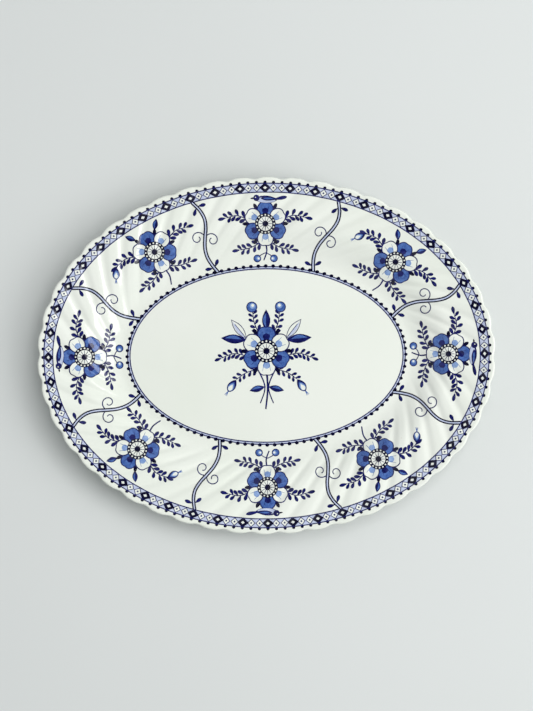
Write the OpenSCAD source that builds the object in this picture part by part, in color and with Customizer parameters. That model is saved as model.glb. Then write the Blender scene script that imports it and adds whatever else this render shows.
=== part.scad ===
// Oval serving platter in glazed white earthenware, with a swirl-fluted rim, a scalloped edge
// and underglaze printed decoration: a banded border, four bird sprays, four bud sprays,
// eight stems that divide them, a border round the well and a bouquet in the middle.
// Millimetres. Z is up, the foot ring stands on Z = 0, and X runs along the platter's length.

/* [Platter] */
// Length over the scalloped edge
platter_length = 305; // [270:1:350]
// Width over the scalloped edge
platter_width = 238; // [215:1:280]
// Height of the edge above the table
platter_height = 25; // [22:0.5:30]
// Thickness of the fired clay in the well
wall = 5; // [4:0.1:6]
// Thickness of the fired clay at the lip
lip_wall = 3.2; // [2.4:0.1:3.6]

/* [Rim] */
// Width of the rim and the curve below it, from the edge in to the flat well
rim_width = 56; // [52:1:60]
// Height climbed by the steep curve round the well
verge_rise = 8; // [6:0.5:10]

/* [Flutes] */
// Number of swirling flutes, with one scallop of the edge each
flute_count = 46; // [30:2:52]
// Depth of a flute's groove below its crest
flute_depth = 0.9; // [0.4:0.1:1.4]
// Depth of a scallop of the edge
scallop_depth = 1.3; // [0.6:0.1:1.8]
// Turn of a flute about the oval on its way from the edge to the well, in degrees
flute_swirl = 29; // [0:1:35]

/* [Foot ring] */
// Height of the foot ring below the underside of the well
foot_height = 2.8; // [2:0.1:4]
// Width of the foot ring
foot_width = 4.5; // [3.5:0.5:6]
// Distance from the platter's edge in to the foot ring
foot_inset = 58; // [58:1:62]

/* [Glaze and printed colour] */
// Thickness of the glaze
glaze = 0.3; // [0.2:0.05:0.5]
// Thickness of the printed colour under the glaze
ink = 0.06; // [0.05:0.01:0.1]

/* [Printed decoration] */
// Distance from the edge in to the banded border
band_inset = 4.4; // [3.5:0.1:5]
// Width of the banded border
band_width = 5.8; // [5:0.1:7]
// Distance from the edge in to the middle of the rim's flowers
flower_inset = 31; // [29:1:33]
// Distance from the edge in to the line round the well
well_line_inset = 60.4; // [59:0.1:62]
// Number of half beads round the well
bead_count = 104; // [80:2:110]
// Radius of a half bead
bead_radius = 1.2; // [0.8:0.1:1.5]

/* [Hidden] */

$fn = 48;
half_length = platter_length / 2;
half_width = platter_width / 2;
well_height = foot_height + wall;
edge_height = platter_height - glaze - ink;
rim_rise = edge_height - well_height - verge_rise;
verge_start = rim_width / 2;
flute_fade = 22;
scallop_fade = 14;
first_crest = 3 / 360;
// Where the edges of a flute's crest and the middle of its groove lie, in flute widths
crest_edge = 0.22;
flute_section = [-crest_edge, crest_edge, 0.5];
columns = len(flute_section) * flute_count;
band_end = band_inset + band_width;
stem_end = well_line_inset - 1;
lip_inset = 1.2;
coat_end = foot_inset - 0.6;
cut_height = platter_height + 5;
well_line_width = 0.5;
line_gap = 0.7;
leaf_tip = 0.5;
bud_spray_shift = 0.011;
// How far the bouquet's flower lies from the platter's middle, so that its stems leave it centred
bouquet_shift = 3;
// Petals of each flower
petals = 6;
stem_width = 1.8;
stem_bow = 2;
// Turn in degrees that spaces equal parts of the oval's edge evenly
evening = 45 / PI * (half_length ^ 2 - half_width ^ 2) / (half_length ^ 2 + half_width ^ 2);

face_insets = [rim_width, 48, 41, 33, band_end, band_inset, lip_inset];
back_insets = [lip_inset, 14, 38, rim_width];

clay_white = "#f2efe6";
glaze_white = "#e8ece8";
ink_navy = "#1d2358";
ink_blue = "#3f5fa8";

// ---- shape of the platter ----

// Eases from 0 to 1 as x goes from 0 to 1
function ease(x) = let (k = min(max(x, 0), 1)) k * k * (3 - 2 * k);

// Angle on the oval at a given part of one whole turn, counted along the edge
function turn(part) = 360 * part + evening * sin(720 * part);

// Point of the plan at a distance in from the edge
function oval_point(inset, angle) =
    [(half_length - inset) * cos(angle), (half_width - inset) * sin(angle)];

// Direction that faces straight outwards from that point
function outward(inset, angle) =
    atan2(sin(angle) / (half_width - inset), cos(angle) / (half_length - inset));

// Part of a turn by which the flutes have swung at a distance in from the edge
function swirl(inset) =
    let (x = inset / rim_width)
    flute_swirl / 360 * (0.55 * x + 0.45 * x * x);

// Height of the clay's upper face along the crests of the flutes
function face_height(inset) =
    well_height
    + rim_rise * max(1 - inset / rim_width, 0) ^ 1.5
    + verge_rise * ease((rim_width - inset) / verge_start);

// Thickness of the clay, which thins towards the lip
function thickness(inset) = lip_wall + (wall - lip_wall) * ease(inset / flute_fade);

// Height of the clay's underside
function back_height(inset) = face_height(inset) - thickness(inset);

// Part of a turn at which a column starts from the edge
function column_part(column) =
    let (place = column % len(flute_section))
    first_crest + ((column - place) / len(flute_section) + flute_section[place]) / flute_count;

// Depth of the groove at a column: 0 on the edges of a crest, 1 in the middle of a groove
function groove(column) = column % len(flute_section) == 2 ? 1 : 0;

// Share of the full depth that a flute has at a distance in from the edge
function flute_share(inset) =
    ease((rim_width - inset) / flute_fade) * (0.5 + 0.5 * ease(inset / band_end));

// Point on a column that swings with the flutes
function rim_point(inset, column, height) =
    let (
        angle = turn(column_part(column) + swirl(inset)),
        cut = inset + scallop_depth * groove(column) * ease(1 - inset / scallop_fade)
    )
    [(half_length - cut) * cos(angle), (half_width - cut) * sin(angle), height];

// Ring of points on the fluted face, lifted above the clay
function face_ring(inset, lift) =
    [for (c = [0:columns - 1])
        rim_point(inset, c, face_height(inset) + lift - flute_depth * groove(c) * flute_share(inset))];

// Ring of points on the smooth underside, lowered below the clay
function back_ring(inset, drop) =
    [for (c = [0:columns - 1]) rim_point(inset, c, back_height(inset) - drop)];

// Ring of points round the outside of the lip
function lip_ring(inset) =
    [for (c = [0:columns - 1])
        rim_point(inset, c, face_height(0) - lip_wall / 2 - flute_depth * groove(c) / 4)];

// Two triangles that fill the four-sided gap between neighbouring columns of two rings. They are
// split from the inner ring's column to the outer ring's next one, so that layers that lie on
// each other have the same facets.
function gap_faces(here, here_next, there, there_next, outwards) =
    outwards
        ? [[here, here_next, there_next], [here, there_next, there]]
        : [[here, here_next, there], [here_next, there_next, there]];

// Closed solid through a stack of equal rings, with a flat lid on the first and the last of them,
// or with the last ring joined to the first
module stack(rings, looped = false) {
    count = len(rings);
    size = len(rings[0]);
    polyhedron(
        points = [for (ring = rings) each ring],
        faces = [
            for (r = [0:count - (looped ? 1 : 2)], c = [0:size - 1])
                let (
                    s = (r + 1) % count,
                    d = (c + 1) % size,
                    outwards = norm(rings[s][0]) > norm(rings[r][0])
                )
                each gap_faces(r * size + c, r * size + d, s * size + c, s * size + d, outwards),
            if (!looped) [for (c = [size - 1:-1:0]) c],
            if (!looped) [for (c = [0:size - 1]) (count - 1) * size + c]
        ]
    );
}

// Upright oval disc at a distance in from the platter's edge
module oval(inset, height) {
    scale([half_length - inset, half_width - inset, 1])
        cylinder(r = 1, h = height);
}

// ---- clay ----

module clay_dish() {
    stack(concat(
        [for (inset = face_insets) face_ring(inset, 0)],
        [lip_ring(glaze)],
        [for (inset = back_insets) back_ring(inset, 0)]
    ));
}

// The foot's bearing face is ground flat, so the ring starts below the table and is cut off there
module foot_ring() {
    spare = 1;
    difference() {
        translate([0, 0, -spare])
            oval(foot_inset, foot_height + wall / 2 + spare);
        translate([0, 0, -2 * spare])
            oval(foot_inset + foot_width, foot_height + wall);
        translate([-half_length, -half_width, -2 * spare])
            cube([platter_length, platter_width, 2 * spare]);
    }
}

module clay_body() {
    color(clay_white)
        union() {
            clay_dish();
            foot_ring();
        }
}

// ---- glaze ----

module glaze_coat() {
    last = len(face_insets) - 1;
    color(glaze_white)
        stack(concat(
            [for (i = [0:last]) face_ring(face_insets[i], ink + glaze)],
            [lip_ring(0)],
            [for (inset = back_insets) back_ring(inset, glaze)],
            [back_ring(coat_end, glaze), back_ring(coat_end, 0)],
            [for (i = [len(back_insets) - 1:-1:0]) back_ring(back_insets[i], 0)],
            [lip_ring(glaze)],
            [for (i = [last:-1:0]) face_ring(face_insets[i], ink)]
        ));
}

module glaze_under_well() {
    color(glaze_white)
        translate([0, 0, foot_height - glaze])
            oval(foot_inset + foot_width + glaze, glaze);
}

// ---- printed colour on the rim ----

// The thin layer on the clay's face that holds all the printed colour outside the well
module ink_layer() {
    last = len(face_insets) - 2;
    stack(concat(
        [for (i = [0:last]) face_ring(face_insets[i], ink)],
        [for (i = [last:-1:0]) face_ring(face_insets[i], 0)]
    ));
}

// Keeps the part of the ink layer that lies over a flat outline
module print_outline() {
    intersection() {
        ink_layer();
        linear_extrude(cut_height)
            children();
    }
}

// Places an outline on the rim: X runs clockwise along the rim and Y outwards
module on_rim(part, inset) {
    angle = turn(part);
    translate(oval_point(inset, angle))
        rotate(outward(inset, angle) - 90)
            children();
}

// Slim leaf between two points, widest half way
module leaf(from, to, width) {
    hull() {
        translate(from)
            circle(leaf_tip, $fn = 4);
        translate((from + to) / 2)
            circle(width / 2, $fn = 6);
        translate(to)
            circle(leaf_tip, $fn = 4);
    }
}

// Round flower with a ring of petals
module blossom(radius, petal_count) {
    petal_radius = radius * 0.36;
    for (i = [0:petal_count - 1])
        rotate(360 * (i + 0.5) / petal_count)
            hull() {
                circle(leaf_tip, $fn = 4);
                translate([radius - petal_radius, 0])
                    circle(petal_radius, $fn = 4);
            }
}

// The flower that all sprays have, with two leafy sprigs on each side
module spray_flower() {
    blossom(15, petals);
    for (side = [-1, 1]) {
        leaf([12 * side, 3], [31 * side, 4], 6);
        leaf([3 * side, -9], [21 * side, -18], 6);
    }
}

module bird_spray_print(part) {
    color(ink_blue)
        print_outline()
            on_rim(part, flower_inset) {
                spray_flower();
                leaf([-10, 16.5], [15, 16.5], 6);
            }
}

module bud_spray_print(part) {
    color(ink_blue)
        print_outline()
            on_rim(part - bud_spray_shift, flower_inset) {
                spray_flower();
                leaf([-27, 4], [-32, -4], 5);
            }
}

// Point on the middle line of a stem, at a share of its way in from the border
function stem_point(part, share) =
    oval_point(
        band_end + (stem_end - band_end) * share,
        turn(part - stem_bow * sin(360 * share) / 360)
    );

// Curving stem that crosses the rim between two sprays
module divider_print(part) {
    steps = 8;
    color(ink_navy)
        print_outline()
            for (i = [1:steps])
                hull() {
                    translate(stem_point(part, (i - 1) / steps))
                        circle(stem_width / 2, $fn = 6);
                    translate(stem_point(part, i / steps))
                        circle(stem_width / 2, $fn = 6);
                }
}

module border_band_print() {
    color(ink_navy)
        stack(
            [face_ring(band_end, ink), face_ring(band_inset, ink),
             face_ring(band_inset, 0), face_ring(band_end, 0)],
            looped = true
        );
}

// ---- printed colour in the well ----

// Outline of the oval at a distance in from the platter's edge, with a corner for each bead
module oval_outline(inset) {
    polygon([for (i = [0:bead_count - 1]) oval_point(inset, turn(i / bead_count))]);
}

// Outline of one half bead that stands on the beaded line, which starts at this distance in
function half_bead(angle, inset) =
    [for (side = [-90:30:90])
        let (direction = outward(inset, angle) + side)
        oval_point(inset, angle) + bead_radius * [cos(direction), sin(direction)]];

// Line round the well with a row of half beads along its outside
module beaded_line(inset) {
    difference() {
        polygon([for (i = [0:bead_count - 1]) each half_bead(turn(i / bead_count), inset)]);
        oval_outline(inset + well_line_width);
    }
}

module well_border_print() {
    color(ink_navy)
        translate([0, 0, well_height])
            linear_extrude(ink) {
                beaded_line(well_line_inset - line_gap - well_line_width);
                difference() {
                    oval_outline(well_line_inset);
                    oval_outline(well_line_inset + well_line_width);
                }
            }
}

module centre_bouquet_print() {
    color(ink_blue)
        translate([0, bouquet_shift, well_height])
            linear_extrude(ink) {
                blossom(17, petals);
                leaf([0, -12], [0, -40], 6);
                leaf([0, 13], [0, 28], 6);
                for (side = [-1, 1]) {
                    leaf([5 * side, 12], [10 * side, 33], 7);
                    leaf([12 * side, 7], [24 * side, 22], 6);
                    leaf([12 * side, 6], [31 * side, 9], 6);
                    leaf([13 * side, -3], [35 * side, -5], 7);
                    leaf([7 * side, -11], [26 * side, -27], 6);
                }
            }
}

// ---- nodes ----

clay_body();
glaze_coat();
glaze_under_well();
border_band_print();
well_border_print();
centre_bouquet_print();
bird_spray_print(1 / 4);  // bird_spray_print_far
bird_spray_print(0);  // bird_spray_print_right
bird_spray_print(3 / 4);  // bird_spray_print_near
bird_spray_print(1 / 2);  // bird_spray_print_left
bud_spray_print(1 / 8);  // bud_spray_print_far_right
bud_spray_print(7 / 8);  // bud_spray_print_near_right
bud_spray_print(5 / 8);  // bud_spray_print_near_left
bud_spray_print(3 / 8);  // bud_spray_print_far_left
for (i = [1:8])
    divider_print((i - 0.5) / 8);
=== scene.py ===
"""China serving platter: the glazed ware and its underglaze print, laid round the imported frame.

Lengths are millimetres and angles radians until a mesh is made, where MM turns them into metres.
`part` is a part of one whole turn round the platter, counted anticlockwise from +X, and `inset`
is a distance in from the oval edge. A drawing's own plane has X clockwise along the rim and Y
outwards. Its shapes are painted in order, each in one tone of ink, and a later shape covers an
earlier one. RESERVE paints back to the bare glaze.
"""
from math import atan2, cos, hypot, pi, radians, sin

import bpy
import numpy as np
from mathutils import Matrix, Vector
from mathutils.geometry import delaunay_2d_cdt


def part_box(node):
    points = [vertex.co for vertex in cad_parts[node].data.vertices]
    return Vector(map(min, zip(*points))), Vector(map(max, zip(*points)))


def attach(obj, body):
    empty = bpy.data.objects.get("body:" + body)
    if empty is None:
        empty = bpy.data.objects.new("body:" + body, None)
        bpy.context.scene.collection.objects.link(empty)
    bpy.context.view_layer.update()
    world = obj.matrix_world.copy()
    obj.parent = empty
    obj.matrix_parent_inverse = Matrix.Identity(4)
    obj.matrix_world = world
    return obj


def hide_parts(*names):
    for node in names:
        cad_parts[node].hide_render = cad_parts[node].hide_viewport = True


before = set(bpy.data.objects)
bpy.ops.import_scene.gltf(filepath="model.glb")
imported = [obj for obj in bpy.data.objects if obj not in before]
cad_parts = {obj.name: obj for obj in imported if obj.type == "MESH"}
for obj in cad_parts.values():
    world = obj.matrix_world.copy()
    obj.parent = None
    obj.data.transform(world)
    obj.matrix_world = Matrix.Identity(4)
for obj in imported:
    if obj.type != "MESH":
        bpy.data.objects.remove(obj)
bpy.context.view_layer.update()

MM = 0.001

# ---- sizes taken from the frame ----

_, coat_high = (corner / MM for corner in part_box("glaze_coat"))
print_low, print_high = (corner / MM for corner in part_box("centre_bouquet_print"))
panel_low, panel_high = (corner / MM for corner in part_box("glaze_under_well"))

HALF_LENGTH = coat_high.x
HALF_WIDTH = coat_high.y
FOOT_HEIGHT = panel_high.z
WELL_HEIGHT = print_low.z
INK = print_high.z - print_low.z
GLAZE = panel_high.z - panel_low.z
WALL = WELL_HEIGHT - FOOT_HEIGHT

# ---- sizes of the ware ----

LIP_WALL = 3.2
LIP_ROUND = 1.2
RIM_WIDTH = 56
VERGE_RISE = 8
VERGE_START = RIM_WIDTH / 2
FOOT_INSET = 58
FOOT_WIDTH = 4.5
FOOT_BARE = 0.5

FLUTES = 46
FLUTE_DEPTH = 1.0
BACK_FLUTE_DEPTH = 0.4
FLUTE_SWIRL = 29 / 360
FLUTE_FADE = 22
FIRST_CREST = 3 / 360
SCALLOP_DEPTH = 1.3
SCALLOP_FADE = 14

# ---- sizes of the print ----

BAND_START = 4.4
BAND_END = 10.2
FLOWER_INSET = 31
WELL_LINE = 60.4
STEM_END = 59.4
STEM_BOW = 2 / 360
INK_SPREAD = 0.2
PETALS = 6
BIRD_SPRAY_PARTS = {"far": 1 / 4, "right": 0, "near": 3 / 4, "left": 1 / 2}
BUD_SPRAY_PARTS = {"far_right": 1 / 8, "near_right": 7 / 8, "near_left": 5 / 8, "far_left": 3 / 8}
BUD_SPRAY_SHIFT = 0.011
BOUQUET_PLACE = (0, 3)

# The clay's face rises to the rim's edge over this height, so that the lip tops out where the frame's does
RIM_RISE = (coat_high.z - GLAZE - INK - WELL_HEIGHT - VERGE_RISE) / (1 - LIP_ROUND / RIM_WIDTH) ** 1.5
# Turn that spaces equal parts of the oval's edge evenly
EVENING = (HALF_LENGTH ** 2 - HALF_WIDTH ** 2) / (HALF_LENGTH ** 2 + HALF_WIDTH ** 2) / 4


# ---- shape of the ware ----

def ease(x):
    """Eases from 0 to 1 as x goes from 0 to 1."""
    k = np.clip(x, 0, 1)
    return k * k * (3 - 2 * k)


def turn(part):
    """Angle on the oval at a part of one whole turn."""
    return 2 * pi * part + EVENING * np.sin(4 * pi * part)


def part_of(angle):
    """The part of a turn whose angle this is."""
    part = angle / (2 * pi)
    for _ in range(8):
        part = (angle - EVENING * np.sin(4 * pi * part)) / (2 * pi)
    return part


def oval_point(inset, angle):
    """Plan point at a distance in from the edge."""
    return np.stack([(HALF_LENGTH - inset) * np.cos(angle), (HALF_WIDTH - inset) * np.sin(angle)], axis=-1)


def outward(inset, angle):
    """Direction that faces straight outwards from that point."""
    return atan2(sin(angle) / (HALF_WIDTH - inset), cos(angle) / (HALF_LENGTH - inset))


def swirl(inset):
    """Part of a turn by which the flutes have swung at a distance in from the edge."""
    x = np.minimum(inset / RIM_WIDTH, 1)
    return FLUTE_SWIRL * (0.55 * x + 0.45 * x * x)


def groove(column_part):
    """Depth of the flutes: 0 on a rounded crest, 1 in the middle of a groove."""
    wave = 2 * pi * FLUTES * (column_part - FIRST_CREST)
    return (0.75 - np.cos(wave) + 0.25 * np.cos(2 * wave)) / 2


def face_height(inset):
    """Height of the clay's upper face along the crests."""
    climb = RIM_RISE * np.maximum(1 - inset / RIM_WIDTH, 0) ** 1.5
    return WELL_HEIGHT + climb + VERGE_RISE * ease((RIM_WIDTH - inset) / VERGE_START)


def back_height(inset):
    """Height of the clay's underside."""
    return face_height(inset) - LIP_WALL - (WALL - LIP_WALL) * ease(inset / FLUTE_FADE)


def flute_share(inset):
    """Share of their full depth that the flutes have at a distance in from the edge."""
    return ease((RIM_WIDTH - inset) / FLUTE_FADE) * (0.5 + 0.5 * ease(inset / BAND_END))


def scallop(inset, depth):
    """How far a groove of this depth pulls the plan in at a distance in from the edge."""
    return SCALLOP_DEPTH * depth * ease(1 - inset / SCALLOP_FADE)


def oval_inset(points):
    """Inset and angle of the oval through each plan point."""
    x, y = np.abs(points[:, 0]), np.abs(points[:, 1])
    near, far = np.full(len(points), -5.0), np.full(len(points), HALF_WIDTH - 0.01)
    for _ in range(40):
        middle = (near + far) / 2
        outside = (x / (HALF_LENGTH - middle)) ** 2 + (y / (HALF_WIDTH - middle)) ** 2 > 1
        near, far = np.where(outside, near, middle), np.where(outside, middle, far)
    angle = np.arctan2(points[:, 1] / (HALF_WIDTH - near), points[:, 0] / (HALF_LENGTH - near))
    return near, angle


def glaze_height(points):
    """Height of the glaze's face over each plan point."""
    cut, angle = oval_inset(points)
    part = part_of(angle)
    inset = cut
    for _ in range(12):
        inset = np.maximum(cut - scallop(inset, groove(part - swirl(inset))), 0)
    depth = FLUTE_DEPTH * groove(part - swirl(inset)) * flute_share(inset)
    return face_height(inset) + INK + GLAZE - depth


def glaze_frame(points):
    """Points on the glaze's face over plan points, and the directions that face straight off it."""
    reach = 0.05
    height = glaze_height(points)
    slope_x = (glaze_height(points + [reach, 0]) - glaze_height(points - [reach, 0])) / (2 * reach)
    slope_y = (glaze_height(points + [0, reach]) - glaze_height(points - [0, reach])) / (2 * reach)
    normals = np.stack([-slope_x, -slope_y, np.ones(len(points))], axis=1)
    normals /= np.linalg.norm(normals, axis=1)[:, None]
    return np.column_stack([points, height]), normals


# ---- meshes of the ware ----

def rim_ring(columns, inset, height, depth=0.0):
    """Ring of points that swings with the flutes, at a height on the crests and lower in the grooves."""
    column_part = np.arange(columns) / columns + FIRST_CREST
    hollow = groove(column_part)
    plan = oval_point(inset + scallop(inset, hollow), turn(column_part + swirl(inset)))
    return np.column_stack([plan, height - depth * hollow])


def shrunk(ring, share):
    """The same ring drawn in towards the platter's middle."""
    return ring * [share, share, 1]


def face_rings(columns, insets, lift):
    """Rings over the fluted face, from the well's middle out to the lip."""
    well = rim_ring(columns, RIM_WIDTH, face_height(RIM_WIDTH) + lift)
    rim = [rim_ring(columns, i, face_height(i) + lift, FLUTE_DEPTH * flute_share(i)) for i in insets]
    return [shrunk(well, share) for share in (0.25, 0.55, 0.8, 0.93)] + rim


def lip_rings(columns, reach, lift, drop, steps):
    """Rings round the lip, from its face to its back, where the lip is LIP_ROUND - reach deep."""
    top = face_height(LIP_ROUND) + lift
    bottom = back_height(LIP_ROUND) - drop
    rings = []
    for step in range(1, steps):
        around = pi * (0.5 - step / steps)
        inset = LIP_ROUND - (LIP_ROUND - reach) * cos(around)
        height = (top + bottom) / 2 + (top - bottom) / 2 * sin(around)
        depth = (FLUTE_DEPTH * flute_share(LIP_ROUND) * (1 - step / steps)
                 + BACK_FLUTE_DEPTH * flute_share(LIP_ROUND) * step / steps)
        rings.append(rim_ring(columns, inset, height, depth))
    return rings


def back_rings(columns, insets, drop):
    """Rings over the underside of the rim, from the lip in."""
    return [rim_ring(columns, i, back_height(i) - drop, BACK_FLUTE_DEPTH * flute_share(i)) for i in insets]


def foot_rings(columns, outline):
    """Rings round the foot through (inset, height) points of its outline."""
    return [rim_ring(columns, inset, height) for inset, height in outline]


def turned_piece(name, rings):
    """Closed mesh through rings that starts and ends at a point in the platter's middle."""
    count = len(rings[0])
    ends = [[0, 0, rings[0][0][2]], [0, 0, rings[-1][0][2]]]
    points = np.vstack(rings + [ends]) * MM
    first, last = len(points) - 2, len(points) - 1
    here = np.arange(count)
    after = (here + 1) % count
    quads = []
    for ring in range(len(rings) - 1):
        base = ring * count
        quads.append(np.column_stack([base + here, base + count + here, base + count + after, base + after]))
    end_base = (len(rings) - 1) * count
    start_fan = np.column_stack([np.full(count, first), here, after])
    end_fan = np.column_stack([np.full(count, last), end_base + after, end_base + here])
    mesh = bpy.data.meshes.new(name)
    mesh.from_pydata(points.tolist(), [], np.vstack(quads).tolist() + start_fan.tolist() + end_fan.tolist())
    mesh.shade_smooth()
    piece = bpy.data.objects.new(name, mesh)
    bpy.context.collection.objects.link(piece)
    return piece


# Insets of the rings on the rim's face: closer together where the lip and the verge curve
FINE_INSETS = np.concatenate([np.linspace(RIM_WIDTH, 12, 37), np.linspace(11, LIP_ROUND, 10)])
COARSE_INSETS = FINE_INSETS[::3]
BACK_INSETS = np.concatenate([[LIP_ROUND], np.linspace(4, RIM_WIDTH, 20)])
FINE_COLUMNS = 16 * FLUTES
CLAY_COLUMNS = 8 * FLUTES


def glaze_skin():
    """The glaze over the face, round the lip and down to the foot's bare edge, and its inner side."""
    outside = FOOT_INSET - GLAZE
    under = FOOT_HEIGHT - GLAZE
    rings = face_rings(FINE_COLUMNS, FINE_INSETS, INK + GLAZE)
    rings += lip_rings(FINE_COLUMNS, 0, INK + GLAZE, GLAZE, 9)
    rings += back_rings(FINE_COLUMNS, BACK_INSETS, GLAZE)
    rings += foot_rings(FINE_COLUMNS, [
        (outside - 0.6, under), (outside - 0.25, under - 0.15), (outside - 0.05, under - 0.5),
        (outside, under - 1), (outside, FOOT_BARE + 0.35), (outside + 0.1, FOOT_BARE + 0.1),
        (FOOT_INSET, FOOT_BARE), (FOOT_INSET, FOOT_HEIGHT),
    ])
    rings += back_rings(FINE_COLUMNS, BACK_INSETS[::-3], 0)
    rings += lip_rings(FINE_COLUMNS, GLAZE, INK, 0, 5)[::-1]
    rings += face_rings(FINE_COLUMNS, COARSE_INSETS, INK)[::-1]
    return turned_piece("glaze_skin", rings)


def clay_ware():
    """The clay under the glaze. Only the bearing edge of its foot is bare."""
    inside = FOOT_INSET + FOOT_WIDTH
    rings = face_rings(CLAY_COLUMNS, COARSE_INSETS, 0)
    rings += lip_rings(CLAY_COLUMNS, GLAZE, 0, 0, 5)
    rings += back_rings(CLAY_COLUMNS, BACK_INSETS, 0)
    rings += foot_rings(CLAY_COLUMNS, [
        (FOOT_INSET, FOOT_HEIGHT), (FOOT_INSET, FOOT_BARE), (FOOT_INSET + 0.2, 0.14), (FOOT_INSET + 0.7, 0),
        (inside - 0.7, 0), (inside - 0.2, 0.14), (inside, FOOT_BARE), (inside, FOOT_HEIGHT),
    ])
    return turned_piece("clay_ware", rings)


def glaze_panel():
    """The glaze inside the foot: down the foot's inner side and across the underside of the well."""
    inside = FOOT_INSET + FOOT_WIDTH
    under = FOOT_HEIGHT - GLAZE
    outer = foot_rings(CLAY_COLUMNS, [
        (inside, FOOT_BARE), (inside + 0.2, FOOT_BARE + 0.1), (inside + GLAZE, FOOT_BARE + 0.35),
        (inside + GLAZE, under - 1), (inside + GLAZE + 0.1, under - 0.5),
        (inside + GLAZE + 0.4, under - 0.15),
        (inside + GLAZE + 1, under),
    ])
    across = [shrunk(outer[-1], share) for share in (0.8, 0.5, 0.25)]
    inner = foot_rings(CLAY_COLUMNS, [(inside, FOOT_HEIGHT)])
    back = [shrunk(inner[0], share) for share in (0.25, 0.6)]
    return turned_piece("glaze_panel", back + inner + outer + across)


# ---- drawing: outlines ----

RESERVE, LINE, NAVY, BLUE, SKY, PALE = range(-1, 5)


def spot(start, heading, reach):
    """The point `reach` away from start in a direction."""
    return (start[0] + reach * cos(heading), start[1] + reach * sin(heading))


def circle(centre, radius):
    """Round outline with as many sides as its size needs."""
    sides = 8 + round(4 * radius)
    return [spot(centre, 2 * pi * i / sides, radius) for i in range(sides)]


def curve(points, steps=6):
    """Smooth curve through the points."""
    path = np.array([points[0], *points, points[-1]], float)
    bends = []
    for a, b, c, d in zip(path, path[1:], path[2:], path[3:]):
        for t in np.arange(steps) / steps:
            bends.append(b + 0.5 * t * (c - a + t * (2 * a - 5 * b + 4 * c - d + t * (3 * (b - c) + d - a))))
    return np.array([*bends, path[-1]])


def headings(path):
    """Direction of a path at each of its points."""
    steps = np.gradient(path, axis=0)
    return np.arctan2(steps[:, 1], steps[:, 0])


def stroke(points, width, end_width=None):
    """Outline of a line drawn through the points, whose width may change from start to end."""
    path = curve(points)
    side = headings(path) + pi / 2
    widths = np.linspace(width, width if end_width is None else end_width, len(path)) / 2
    offset = widths[:, None] * np.stack([np.cos(side), np.sin(side)], axis=1)
    return [*(path - offset), *(path + offset)[::-1]]


def blade(base, tip, width, belly=0.5, point=1.0, bend=0.0):
    """Leaf outline from base to tip. It is widest at the share `belly`, and a low `point` rounds its ends."""
    length, heading = hypot(tip[0] - base[0], tip[1] - base[1]), atan2(tip[1] - base[1], tip[0] - base[0])
    skew = np.log(0.5) / np.log(belly)
    share = (1 - np.cos(np.linspace(0, pi, 12))) / 2
    half = width / 2 * np.sin(pi * share ** skew) ** point
    bow = bend * 4 * share * (1 - share)
    lower = np.stack([share * length, bow - half], axis=1)
    upper = np.stack([share * length, bow + half], axis=1)
    edge = np.concatenate([lower, upper[-2:0:-1]])
    turned = [[cos(heading), sin(heading)], [-sin(heading), cos(heading)]]
    return list(edge @ turned + np.array(base))


def drop(base, tip, width):
    """Leaf that is thin at the stem and rounded at its end."""
    return blade(base, tip, width, belly=0.64, point=0.6)


def petal(centre, radius, facing):
    """Round petal with a small notch in the side that it faces."""
    sides = 30
    notch = 0.14
    outline = []
    for i in range(sides):
        around = 2 * pi * i / sides - pi
        outline.append(spot(centre, facing + around, radius * (1 - notch * np.exp(-(around / 0.35) ** 2))))
    return outline


# ---- drawing: parts of the decoration, each a list of (outline, tone) in painting order ----

def line(points, width=0.4, end_width=None, tone=NAVY):
    """Engraved line, which prints a little wider than it is cut."""
    end_width = width if end_width is None else end_width
    return [(stroke(points, width + INK_SPREAD, end_width + INK_SPREAD), tone)]


def mirrored(shapes):
    """The shapes, and the same again with left and right exchanged."""
    return shapes + [([(-x, y) for x, y in outline], tone) for outline, tone in shapes]


def sprig(points, pairs, size, last=True):
    """Stem with leaves in pairs along it and, where it is `last`, one leaf at its end."""
    path = curve(points, 12)
    heading = headings(path)
    shapes = line(points, 0.5, 0.3)
    for i in range(2 * pairs):
        share = (i + 0.6) / (2 * pairs + 0.6)
        place = round(share * (len(path) - 1))
        side = radians(50) if i % 2 else radians(-50)
        length = size * (1.1 - 0.2 * share)
        tip = spot(path[place], heading[place] + side, length)
        shapes.append((drop(path[place], tip, length * 0.48), NAVY))
    if last:
        shapes.append((drop(path[-1], spot(path[-1], heading[-1], size * 1.2), size * 0.48), NAVY))
    return shapes


def outlined_leaf(base, tip, width):
    """Leaf drawn in line only, with a midrib and a thin tint along one side."""
    heading = atan2(tip[1] - base[1], tip[0] - base[0])
    length = hypot(tip[0] - base[0], tip[1] - base[1])
    inner_base = spot(base, heading, 0.6)
    inner_tip = spot(tip, heading, -0.8)
    inner_width = width - 1
    tint = blade(inner_base, spot(inner_tip, heading, -1), inner_width * 0.42, bend=-inner_width * 0.22)
    edge = blade(base, tip, width)
    inside = blade(inner_base, inner_tip, inner_width)
    midrib = line([base, spot(base, heading, length * 0.75)], 0.3, 0.2)
    return [(edge, NAVY), (inside, RESERVE), (tint, PALE)] + midrib


def shaded_leaf(base, tip, width):
    """Dark leaf with a lighter blue side."""
    heading = atan2(tip[1] - base[1], tip[0] - base[0])
    length = hypot(tip[0] - base[0], tip[1] - base[1])
    light_base = spot(base, heading, length * 0.2)
    light_tip = spot(tip, heading, -length * 0.16)
    return [
        (blade(base, tip, width), NAVY),
        (blade(light_base, light_tip, width * 0.36, bend=width * 0.2), BLUE),
    ]


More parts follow.
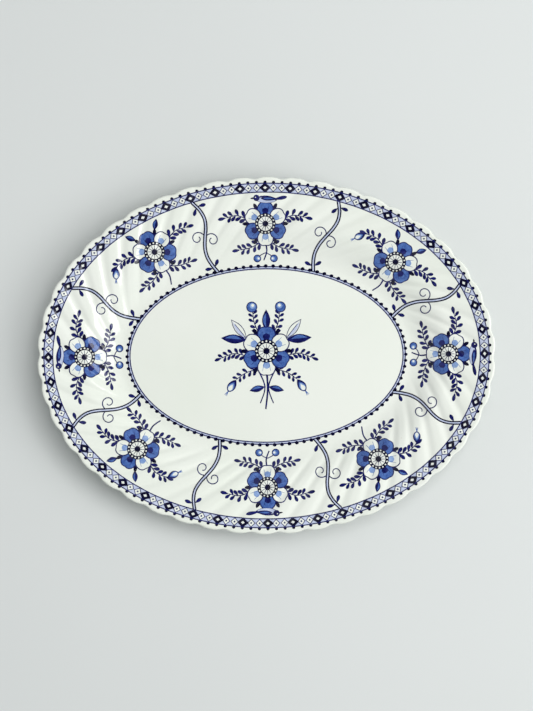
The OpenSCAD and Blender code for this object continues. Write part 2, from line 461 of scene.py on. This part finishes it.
def berry(centre, radius, facing):
    """Round berry, shaded on the side that it faces and with a white light on the other."""
    away = facing + pi
    return [
        (circle(centre, radius), NAVY),
        (circle(centre, radius - 0.6), BLUE),
        (circle(spot(centre, away, radius * 0.25), radius * 0.5), SKY),
        (circle(spot(centre, away, radius * 0.35), radius * 0.28), RESERVE),
    ]


def bud(base, tip, width):
    """Closed bud: dark where it leaves its stem, with a white light in it and a tuft of sepals at its tip."""
    heading = atan2(tip[1] - base[1], tip[0] - base[0])
    length = hypot(tip[0] - base[0], tip[1] - base[1])

    def along(share):
        return spot(base, heading, length * share)

    shapes = [
        (blade(base, tip, width, belly=0.56, point=0.6), NAVY),
        (blade(along(0.2), along(0.93), width - 1.4, belly=0.6, point=0.6), BLUE),
        (blade(along(0.3), along(0.91), width - 2.0, belly=0.62, point=0.6), SKY),
        (blade(along(0.4), along(0.9), width - 2.7, belly=0.66, point=0.6), RESERVE),
    ]
    for side in (-0.28, 0.0, 0.28):
        shapes += line([tip, spot(tip, heading + side, length * 0.34)], 0.4, 0.0, tone=BLUE)
    return shapes


def tendril(base, heading, size, hand):
    """Fine stem that leaves its base in a direction and curls up in a spiral. hand 1 curls anticlockwise."""
    path = [base]
    facing = heading
    for step in range(17):
        path.append(spot(path[-1], facing, size * 0.93 ** step))
        facing += hand * radians(24)
    return line(path, 0.5, 0.4)


def flower(radius):
    """Open flower at the drawing's middle, with petals that are blue and white by turns, leaf tips between
    the petals, and an eye."""
    middle = (0, 0)
    petal_radius = radius * 0.36
    facings = [pi / 2 + 2 * pi * i / PETALS for i in range(PETALS)]
    shapes = []
    for facing in facings:
        gap = facing + pi / PETALS
        tip = spot(middle, gap, radius + 0.4)
        shapes.append((drop(spot(middle, gap, radius * 0.6), tip, radius * 0.16), LINE))
    for i, facing in enumerate(facings):
        centre = spot(middle, facing, radius - petal_radius)
        fill = RESERVE if i % 2 else BLUE
        shade, vein = (SKY, BLUE) if i % 2 else (NAVY, NAVY)
        shapes.append((petal(centre, petal_radius + 0.2, facing), NAVY))
        shapes.append((petal(centre, petal_radius - 0.5, facing), fill))
        foot = spot(middle, facing, radius * 0.36)
        shapes.append((drop(foot, spot(middle, facing, radius * 0.7), petal_radius * 0.8), shade))
        for side in (-0.2, 0.2):
            start = spot(middle, facing + side, radius * 0.42)
            shapes += line([start, spot(middle, facing + side, radius * 0.8)], 0.15, 0.0, tone=vein)
    return shapes + eye(radius)


def eye(radius):
    """Eye of a flower: a dark ring with white stamens, and dark rays round a dark middle on white."""
    middle = (0, 0)
    stamens = 16
    rays = 12
    shapes = [(circle(middle, radius * 0.46), LINE)]
    for i in range(stamens):
        around = 2 * pi * i / stamens
        shapes.append((circle(spot(middle, around, radius * 0.39), radius * 0.038), RESERVE))
    shapes.append((circle(middle, radius * 0.31), RESERVE))
    for i in range(rays):
        around = 2 * pi * i / rays
        shapes += line([middle, spot(middle, around, radius * 0.29)], 0.2, 0.1)
    return shapes + [(circle(middle, radius * 0.13), LINE)]


def spray_flower():
    """The flower that all sprays have, on a short stalk, with two leafy sprigs on each side."""
    sprigs = sprig([(12, 3), (19, 5.4), (26, 4)], 4, 4.8)
    sprigs += sprig([(3, -12), (10, -15.6), (17, -17)], 4, 4.6)
    stalk = line([(0, -12), (0.8, -18), (-1.2, -24)], 0.9, 0.6)
    return mirrored(sprigs) + stalk + flower(15)


def songbird():
    """Plain small bird that sits on the flower's uppermost petal."""
    return [
        (blade((4, 15.6), (14.6, 17.6), 2.4, belly=0.7, point=0.6), NAVY),
        (blade((-7.4, 16.4), (8, 15.6), 5.2, point=0.7), NAVY),
        (blade((-6.6, 16), (7, 15.2), 3.7, point=0.7), PALE),
        (blade((-3, 16.8), (9, 16.2), 2.8, belly=0.4), NAVY),
        (blade((-1.2, 16.8), (6, 16.4), 1.2, belly=0.4), BLUE),
        (blade((-7, 17), (-10, 16.5), 1.1), LINE),
        (circle((-5.8, 17), 2.1), NAVY),
        (circle((-6.4, 17.4), 0.4), RESERVE),
    ]


def bird_spray():
    """Spray with a bird on its flower, and two berries at the foot of its stalk."""
    berries = line([(0, -19), (3, -20.4), (4.6, -22)], 0.4) + berry((5.6, -22.8), 2.6, 0.0)
    return mirrored(berries) + spray_flower() + songbird()


def bud_spray():
    """Spray with a bud that hangs from its left sprig, and a leaf on each side of its uppermost petal."""
    bud_stem = line([(-26, 4.2), (-27.6, 3)], 0.5)
    leaves = mirrored(shaded_leaf((7, 12.5), (12, 18.5), 3.6))
    return leaves + spray_flower() + bud_stem + bud((-27.4, 3.4), (-31.4, -3.4), 5)


def bouquet():
    """The well's bouquet, the same on both sides of its middle: a large flower with sprigs, leaves, berries
    and buds round it, and its stems below."""
    side = sprig([(5, 12), (8, 19), (9, 26)], 4, 4.2, last=False)
    side += berry((9.6, 29.6), 3.7, radians(-60))
    side += shaded_leaf((13, 7.5), (30.5, 9), 6.2)
    side += outlined_leaf((13, 8), (23.6, 21.4), 5.6)
    side += sprig([(14, -3), (22, -1.6), (30, -4.4)], 5, 4.4)
    side += sprig([(6, -12), (14, -14.6), (20.4, -19)], 4, 4.2, last=False)
    side += bud((20.6, -19.2), (26, -27), 5.6)
    side += line([(6, -12), (1.2, -24), (4.4, -35)], 0.8, 0.5)
    side += shaded_leaf((1.2, -24), (11.6, -26.6), 4.4)
    stem = line([(0, -12), (0.6, -26), (-0.8, -39)], 1.2, 0.8)
    return mirrored(side) + shaded_leaf((0, 13), (0, 28), 5.6) + stem + flower(17)


def divider(part):
    """Curving double stem between two sprays, drawn in plan. It has a pair of leaves near each end and
    a pair of tendrils half way."""
    def stem(share):
        angle = turn(part - STEM_BOW * sin(2 * pi * share))
        return oval_point(BAND_END + (STEM_END - BAND_END) * share, angle)

    def branch(share, turned):
        """A point of the stem and the direction that is turned so far from the way in to the well."""
        root = stem(share)
        ahead = stem(share + 0.01) - root
        return root, atan2(ahead[1], ahead[0]) + radians(turned)

    shapes = []
    for hand in (-1, 1):
        for share, turned in ((0.07, 60), (0.93, 120)):
            root, heading = branch(share, hand * turned)
            shapes.append((drop(spot(root, heading, 1), spot(root, heading, 6.4), 2.4), NAVY))
        shapes += tendril(*branch(0.5, 180 + hand * 35), 2.1, hand)
    path = [stem(share) for share in np.linspace(0, 1, 9)]
    shapes.append((stroke(path, 2.5, 2.7), LINE))
    shapes.append((stroke(path, 0.75, 0.9), PALE))
    return shapes


def oval_length(inset):
    """Length round the oval at a distance in from the edge."""
    a, b = HALF_LENGTH - inset, HALF_WIDTH - inset
    return pi * (3 * (a + b) - ((3 * a + b) * (a + 3 * b)) ** 0.5)


BAND_REPEATS = 48
BAND_PITCH = oval_length((BAND_START + BAND_END) / 2) / BAND_REPEATS
WELL_BEADS = 104
WELL_PITCH = oval_length(WELL_LINE) / WELL_BEADS


def bar(start, end, low, high, tone):
    """Straight bar along the rim."""
    return ([(start, low), (end, low), (end, high), (start, high)], tone)


def diamond(centre, across, high, tone):
    x, y = centre
    return ([(x + across, y), (x, y + high), (x - across, y), (x, y - high)], tone)


def band():
    """The border's lattice, laid out straight: X along the rim and Y minus the inset. Each repeat has a dark
    diamond and two white lozenges between tinted corners."""
    end = BAND_REPEATS * BAND_PITCH
    middle = -(BAND_START + BAND_END) / 2
    reach = (BAND_END - BAND_START) / 2
    cell = BAND_PITCH / 3
    shapes = [bar(0, end, middle - reach, middle + reach, PALE)]
    for i in range(3 * BAND_REPEATS):
        place = ((i + 0.5) * cell, middle)
        if i % 3 == 1:
            shapes.append(diamond(place, cell * 0.72, reach + 0.5, LINE))
            shapes.append(diamond(place, cell * 0.24, reach * 0.36, RESERVE))
        else:
            shapes.append(diamond(place, cell * 0.5, reach, NAVY))
            shapes.append(diamond(place, cell * 0.38, reach * 0.76, RESERVE))
            shapes.append((circle(place, 0.6), NAVY))
        shapes.append((circle((place[0], -BAND_START + 0.65), 1.05), LINE))
    for inset in (BAND_START, BAND_END):
        shapes.append(bar(0, end, -inset - 0.36, -inset + 0.36, NAVY))
    return shapes


def well_border():
    """Two lines round the well with a pale gap, and half beads on the outer one, laid out straight."""
    end = WELL_BEADS * WELL_PITCH
    line_width, gap = 0.75, 0.75
    outer = -(WELL_LINE - gap - line_width)
    shapes = [
        bar(0, end, -WELL_LINE, outer, PALE),
        bar(0, end, -WELL_LINE - line_width, -WELL_LINE, NAVY),
        bar(0, end, outer - line_width, outer, NAVY),
    ]
    shapes += [(circle(((i + 0.5) * WELL_PITCH, outer), 1.22), LINE) for i in range(WELL_BEADS)]
    return shapes


# ---- laying the print on the ware ----

def fine(outline, pitch):
    """The outline with points added until no side is longer than the pitch."""
    points = []
    for here, after in zip(outline, [*outline[1:], outline[0]]):
        pieces = max(1, int(np.ceil(hypot(after[0] - here[0], after[1] - here[1]) / pitch)))
        points += [np.array(here) + (np.array(after) - here) * i / pieces for i in range(pieces)]
    return np.array(points)


def facing_up(outline):
    """The outline in anticlockwise order."""
    x, y = outline[:, 0], outline[:, 1]
    area = np.sum(x * np.roll(y, -1) - y * np.roll(x, -1))
    return outline if area > 0 else outline[::-1]


def between(points, pitch):
    """Points of a triangular grid over the drawing that stay clear of its outlines."""
    low, high = points.min(axis=0), points.max(axis=0)
    rows = np.arange(low[1], high[1], pitch * 0.87)
    grid = []
    for i, y in enumerate(rows):
        x = np.arange(low[0] + (i % 2) * pitch / 2, high[0], pitch)
        grid.append(np.column_stack([x, np.full(len(x), y)]))
    grid = np.vstack(grid)
    cell = pitch * 0.3
    taken = {(int(a), int(b)) for a, b in np.floor(points / cell)}
    clear = []
    for point, (a, b) in zip(grid, np.floor(grid / cell).astype(int)):
        if not any((a + i, b + j) in taken for i in (-1, 0, 1) for j in (-1, 0, 1)):
            clear.append(point)
    return np.array(clear).reshape(-1, 2)


def cut_tones(shapes, pitch):
    """Flat points, and the triangles and tone of what each tone leaves to be seen."""
    outlines = [facing_up(fine(outline, pitch)) for outline, _ in shapes]
    starts = np.cumsum([0] + [len(outline) for outline in outlines])
    faces = [list(range(a, b)) for a, b in zip(starts, starts[1:])]
    points = np.vstack(outlines)
    points = np.vstack([points, between(points, pitch)])
    flat, _, triangles, _, _, sources = delaunay_2d_cdt([Vector(p) for p in points], [], faces, 1, 1e-4)
    tones = [shapes[max(source)][1] if source else RESERVE for source in sources]
    kept = [i for i, tone in enumerate(tones) if tone != RESERVE]
    return np.array(flat), np.array(triangles)[kept], np.array(tones)[kept]


def patches(triangles, tones):
    """A number for each triangle, shared by those of one tone that are joined edge to edge."""
    parent = list(range(len(triangles)))

    def root(i):
        while parent[i] != i:
            parent[i] = parent[parent[i]]
            i = parent[i]
        return i

    seen = {}
    for i, (a, b, c) in enumerate(triangles.tolist()):
        for edge in ((a, b), (b, c), (c, a)):
            key = (min(edge), max(edge), tones[i])
            if key in seen:
                parent[root(i)] = root(seen[key])
            seen[key] = i
    return np.array([root(i) for i in range(len(triangles))])


# How far a print's film stands off the glaze and reaches into it
FILM_RISE = 0.07
FILM_SINK = 0.05
# Spacing of the points of a film, and of the bouquet's, which lies flat and needs fewer
PITCH = 1.1
BOUQUET_PITCH = 1.6


def film(name, cut, place, inks):
    """Thin closed films of ink on the glaze. place takes a drawing's points to plan points."""
    flat, triangles, tones = cut
    groups = patches(triangles, tones)
    keys, corners = np.unique(groups[:, None] * len(flat) + triangles, return_inverse=True)
    corners = corners.reshape(-1, 3)
    points, normals = glaze_frame(place(flat[keys % len(flat)]))
    count = len(points)
    ways = np.vstack([corners[:, [0, 1]], corners[:, [1, 2]], corners[:, [2, 0]]])
    edge_tones = np.tile(tones, 3)
    back_ways = set((ways[:, 1] * count + ways[:, 0]).tolist())
    rim = np.array([way not in back_ways for way in (ways[:, 0] * count + ways[:, 1]).tolist()])
    starts, ends = ways[rim, 0], ways[rim, 1]
    walls = np.column_stack([starts + count, ends + count, ends, starts])
    mesh = bpy.data.meshes.new(name)
    mesh.from_pydata(
        (np.vstack([points + normals * FILM_RISE, points - normals * FILM_SINK]) * MM).tolist(),
        [],
        corners.tolist() + (corners[:, ::-1] + count).tolist() + walls.tolist(),
    )
    face_tones = np.concatenate([tones, tones, edge_tones[rim]])
    mesh.polygons.foreach_set("material_index", face_tones.astype(np.int32))
    smooth = np.arange(len(mesh.polygons)) < 2 * len(corners)
    mesh.polygons.foreach_set("use_smooth", smooth)
    for ink_material in inks:
        mesh.materials.append(ink_material)
    mesh.normals_split_custom_set(np.vstack([
        normals[corners.ravel()], -normals[corners[:, ::-1].ravel()], np.zeros((4 * len(walls), 3)),
    ]).tolist())
    piece = bpy.data.objects.new(name, mesh)
    bpy.context.collection.objects.link(piece)
    return piece


def on_rim(part):
    """Placement of a drawing on the rim, X clockwise and Y outwards."""
    angle = float(turn(part))
    tilt = outward(FLOWER_INSET, angle) - pi / 2
    across = np.array([[cos(tilt), sin(tilt)], [-sin(tilt), cos(tilt)]])
    return lambda points: points @ across + oval_point(FLOWER_INSET, angle)


def round_rim(length, pitch):
    """Placement of a border that was laid out straight, with the middle of a repeat at the far side."""
    start = 0.25 + pitch / 2 / length
    return lambda points: oval_point(-points[:, 1], turn(start - points[:, 0] / length))


def in_plan(shift=(0, 0)):
    """Placement of a drawing in plan."""
    return lambda points: points + shift


# ---- materials ----

class Nodes:
    """Short calls for building one material's nodes."""

    def __init__(self, name):
        self.material = bpy.data.materials.new(name)
        self.material.use_nodes = True
        self.tree = self.material.node_tree
        self.tree.nodes.clear()
        self.shader = self.tree.nodes.new("ShaderNodeBsdfPrincipled")
        output = self.tree.nodes.new("ShaderNodeOutputMaterial")
        self.tree.links.new(self.shader.outputs["BSDF"], output.inputs["Surface"])
        self.place = self.tree.nodes.new("ShaderNodeTexCoord").outputs["Object"]

    def add(self, kind, **settings):
        node = self.tree.nodes.new(kind)
        for key, value in settings.items():
            setattr(node, key, value)
        return node

    def link(self, source, target):
        self.tree.links.new(source, target)

    def noise(self, scale, detail=2.0, roughness=0.5):
        """Noise with about `scale` features to the metre."""
        node = self.add("ShaderNodeTexNoise")
        node.inputs["Scale"].default_value = scale
        node.inputs["Detail"].default_value = detail
        node.inputs["Roughness"].default_value = roughness
        self.link(self.place, node.inputs["Vector"])
        return node.outputs["Fac"]

    def ramp(self, source, *stops):
        """Colour ramp through (position, colour) stops."""
        node = self.add("ShaderNodeValToRGB")
        elements = node.color_ramp.elements
        while len(elements) < len(stops):
            elements.new(0.5)
        for element, (position, colour) in zip(elements, stops):
            element.position = position
            element.color = (*colour, 1)
        self.link(source, node.inputs["Fac"])
        return node.outputs["Color"]

    def spread(self, source, low, high, start=0.3, end=0.7):
        """The source's range from start to end, spread from low to high."""
        node = self.add("ShaderNodeMapRange")
        for key, value in (("From Min", start), ("From Max", end), ("To Min", low), ("To Max", high)):
            node.inputs[key].default_value = value
        self.link(source, node.inputs["Value"])
        return node.outputs["Result"]

    def blend(self, share, first, second):
        """Second colour over the first by a share."""
        node = self.add("ShaderNodeMix", data_type="RGBA")
        sockets = {socket.identifier: socket for socket in node.inputs}
        for key, value in (("Factor_Float", share), ("A_Color", first), ("B_Color", second)):
            if isinstance(value, tuple):
                sockets[key].default_value = (*value, 1)
            elif isinstance(value, float):
                sockets[key].default_value = value
            else:
                self.link(value, sockets[key])
        return next(socket for socket in node.outputs if socket.identifier == "Result_Color")

    def bump(self, height, distance, under=None):
        node = self.add("ShaderNodeBump")
        node.inputs["Distance"].default_value = distance
        self.link(height, node.inputs["Height"])
        if under is not None:
            self.link(under, node.inputs["Normal"])
        return node.outputs["Normal"]


def glazed_surface(nodes, roughness):
    """The soft ripple and fine skin of fired glaze, which run on across the ware and its print."""
    ripple = nodes.bump(nodes.noise(55, 1.0), 0.00012)
    nodes.link(nodes.bump(nodes.noise(900, 1.0), 0.000004, under=ripple), nodes.shader.inputs["Normal"])
    gloss = nodes.spread(nodes.noise(40), roughness - 0.02, roughness + 0.03)
    nodes.link(gloss, nodes.shader.inputs["Roughness"])
    nodes.shader.inputs["IOR"].default_value = 1.52


def glaze_material():
    """Clear glaze on off-white earthenware: faint clouds of tint, and a speck here and there."""
    nodes = Nodes("clear_glaze")
    clouds = nodes.ramp(nodes.noise(14, 3.0), (0.35, (0.775, 0.815, 0.745)), (0.65, (0.80, 0.83, 0.775)))
    cells = nodes.add("ShaderNodeTexVoronoi")
    cells.inputs["Scale"].default_value = 34
    nodes.link(nodes.place, cells.inputs["Vector"])
    speck = nodes.spread(cells.outputs["Distance"], 0.35, 0.0, 0.006, 0.016)
    colour = nodes.blend(speck, clouds, (0.45, 0.33, 0.20))
    nodes.link(colour, nodes.shader.inputs["Base Color"])
    glazed_surface(nodes, 0.09)
    return nodes.material


def clay_material():
    """Bare fired clay: matt, chalky and finely pitted, greyed where it has stood on tables."""
    nodes = Nodes("bare_clay")
    body = nodes.ramp(nodes.noise(120, 4.0), (0.3, (0.66, 0.60, 0.49)), (0.7, (0.80, 0.76, 0.67)))
    wear = nodes.spread(nodes.noise(35, 3.0), 0.0, 0.45, 0.5, 0.75)
    nodes.link(nodes.blend(wear, body, (0.42, 0.39, 0.34)), nodes.shader.inputs["Base Color"])
    nodes.link(nodes.spread(nodes.noise(300), 0.75, 0.92), nodes.shader.inputs["Roughness"])
    nodes.link(nodes.bump(nodes.noise(1800, 3.0), 0.00008), nodes.shader.inputs["Normal"])
    return nodes.material


def ink_material(name, thin, full):
    """Printed colour under the glaze. It runs from thin to full where the transfer took more or less ink."""
    nodes = Nodes(name)
    density = nodes.blend(0.45, nodes.noise(260, 3.0, 0.6), nodes.noise(1400, 2.0, 0.7))
    nodes.link(nodes.ramp(density, (0.36, thin), (0.6, full)), nodes.shader.inputs["Base Color"])
    glazed_surface(nodes, 0.09)
    return nodes.material


def floor_material():
    """Matt pale grey paper."""
    nodes = Nodes("pale_paper")
    tint = nodes.ramp(nodes.noise(3, 2.0), (0.3, (0.655, 0.681, 0.676)), (0.7, (0.67, 0.696, 0.691)))
    nodes.link(tint, nodes.shader.inputs["Base Color"])
    nodes.shader.inputs["Roughness"].default_value = 0.85
    nodes.link(nodes.bump(nodes.noise(2500, 2.0), 0.00002), nodes.shader.inputs["Normal"])
    return nodes.material


# ---- floor, light and camera ----

FRAME_HEIGHT = 0.474
CAMERA_HEIGHT = 1.6
CAMERA_ROLL = radians(-0.5)
RIM_LEVEL = coat_high.z * MM * 0.8


def lay_floor():
    """Plain pale floor that the platter stands on."""
    half = 2.0
    mesh = bpy.data.meshes.new("floor")
    corners = [(-half, -half, 0), (half, -half, 0), (half, half, 0), (-half, half, 0)]
    mesh.from_pydata(corners, [], [(0, 1, 2, 3)])
    mesh.materials.append(floor_material())
    floor = bpy.data.objects.new("floor", mesh)
    bpy.context.collection.objects.link(floor)


def hang_light(name, place, size, power, in_glaze):
    """Soft square light that faces the platter. Only one that is `in_glaze` is mirrored by the glaze."""
    light = bpy.data.lights.new(name, "AREA")
    light.shape = "RECTANGLE"
    light.size = light.size_y = size
    light.energy = power
    light.color = (1.0, 1.0, 0.985)
    lamp = bpy.data.objects.new(name, light)
    lamp.visible_glossy = in_glaze
    lamp.location = place
    lamp.rotation_euler = (-Vector(place)).to_track_quat("-Z", "Y").to_euler()
    bpy.context.collection.objects.link(lamp)


def light_room():
    """Daylight from a window on the right, and a pale room all round that is darker overhead."""
    hang_light("window", (1.45, -0.2, 1.2), 1.1, 15, True)
    hang_light("softbox", (0.5, 0.3, 1.75), 1.3, 19, False)
    world = bpy.data.worlds.new("pale_room")
    world.use_nodes = True
    nodes, links = world.node_tree.nodes, world.node_tree.links
    way = nodes.new("ShaderNodeTexCoord")
    parts = nodes.new("ShaderNodeSeparateXYZ")
    overhead = nodes.new("ShaderNodeMapRange")
    overhead.interpolation_type = "SMOOTHSTEP"
    for key, value in (("From Min", 0.75), ("From Max", 0.985), ("To Min", 0.5), ("To Max", 0.03)):
        overhead.inputs[key].default_value = value
    background = nodes["Background"]
    background.inputs["Color"].default_value = (0.965, 0.985, 1.0, 1)
    links.new(way.outputs["Generated"], parts.inputs["Vector"])
    links.new(parts.outputs["Z"], overhead.inputs["Value"])
    links.new(overhead.outputs["Result"], background.inputs["Strength"])
    bpy.context.scene.world = world
    bpy.context.scene.view_settings.view_transform = "Standard"


def place_camera():
    """Camera straight over the platter, with the platter's length across the upright picture."""
    camera = bpy.data.objects.new("camera", bpy.data.cameras.new("camera"))
    camera.location = (0, 0, CAMERA_HEIGHT)
    camera.rotation_euler = (0, 0, CAMERA_ROLL)
    camera.data.lens = camera.data.sensor_width * (CAMERA_HEIGHT - RIM_LEVEL) / FRAME_HEIGHT
    camera.data.dof.use_dof = False
    bpy.context.collection.objects.link(camera)
    bpy.context.scene.camera = camera


# ---- the whole scene ----

def stand_for(piece, node):
    """Joins a piece to the frame in place of a CAD node."""
    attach(piece, "root")
    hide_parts(node)


def make_ware():
    glaze = glaze_material()
    for piece, node, slot, material in (
        (clay_ware(), "clay_body", "bare_clay", clay_material()),
        (glaze_skin(), "glaze_coat", "clear_glaze", glaze),
        (glaze_panel(), "glaze_under_well", "clear_glaze", glaze),
    ):
        piece.data.materials.append(material)
        stand_for(piece, node)


def make_prints():
    inks = [
        ink_material("line_ink", (0.004, 0.005, 0.040), (0.001, 0.001, 0.012)),
        ink_material("navy_ink", (0.012, 0.017, 0.150), (0.004, 0.005, 0.060)),
        ink_material("blue_ink", (0.095, 0.190, 0.490), (0.035, 0.085, 0.300)),
        ink_material("sky_ink", (0.320, 0.440, 0.680), (0.170, 0.280, 0.560)),
        ink_material("pale_ink", (0.580, 0.630, 0.770), (0.440, 0.500, 0.690)),
    ]
    drawing = cut_tones(bird_spray(), PITCH)
    for side, part in BIRD_SPRAY_PARTS.items():
        piece = film(f"bird_spray_{side}", drawing, on_rim(part), inks)
        stand_for(piece, f"bird_spray_print_{side}")
    drawing = cut_tones(bud_spray(), PITCH)
    for side, part in BUD_SPRAY_PARTS.items():
        piece = film(f"bud_spray_{side}", drawing, on_rim(part - BUD_SPRAY_SHIFT), inks)
        stand_for(piece, f"bud_spray_print_{side}")
    for i in range(8):
        drawing = cut_tones(divider((i + 0.5) / 8), PITCH)
        piece = film(f"divider_{i + 1}", drawing, in_plan(), inks)
        stand_for(piece, f"divider_print_{i + 1}")
    round_edge = round_rim(BAND_REPEATS * BAND_PITCH, BAND_PITCH)
    piece = film("border_band", cut_tones(band(), PITCH), round_edge, inks)
    stand_for(piece, "border_band_print")
    round_well = round_rim(WELL_BEADS * WELL_PITCH, WELL_PITCH)
    piece = film("well_border", cut_tones(well_border(), PITCH), round_well, inks)
    stand_for(piece, "well_border_print")
    piece = film("centre_bouquet", cut_tones(bouquet(), BOUQUET_PITCH), in_plan(BOUQUET_PLACE), inks)
    stand_for(piece, "centre_bouquet_print")


lay_floor()
light_room()
place_camera()
make_ware()
make_prints()
